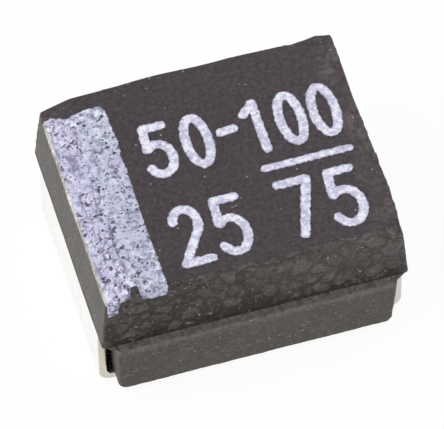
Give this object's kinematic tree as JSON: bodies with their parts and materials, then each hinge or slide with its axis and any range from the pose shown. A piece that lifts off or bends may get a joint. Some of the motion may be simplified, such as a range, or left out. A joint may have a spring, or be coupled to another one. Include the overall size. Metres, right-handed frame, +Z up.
{
  "type": "tantalum capacitor",
  "caption": "Moulded surface-mount tantalum capacitor with a marked polarity band at its anode end and wrap-under solder terminals.",
  "frame": {"origin": "on the board plane, under the middle of the part", "axes": "+X along the part from the anode end to the cathode end, +Y across it towards the back, +Z up from the board"},
  "size_m": [0.0036, 0.003, 0.0019],
  "materials": {
    "epoxy": "moulded, matt, lightly pitted",
    "band_print": "marked, matt, broken by specks",
    "tin": "matt tin plate",
    "tantalum_powder": "sintered, porous",
    "tantalum_wire": "drawn",
    "fluoropolymer": "smooth",
    "manganese_dioxide": "fired, dull",
    "graphite": "painted on, dull",
    "silver_paint": "painted on, satin",
    "silver_adhesive": "cured, satin"
  },
  "bodies": {
    "root": {"moulded_case": "epoxy", "polarity_band": "band_print", "anode_terminal": "tin", "cathode_terminal": "tin", "tantalum_slug": "tantalum_powder", "riser_wire": "tantalum_wire", "insulating_washer": "fluoropolymer", "manganese_dioxide_layer": "manganese_dioxide", "graphite_layer": "graphite", "silver_layer": "silver_paint", "adhesive_bond": "silver_adhesive"}
  },
  "joints": []
}
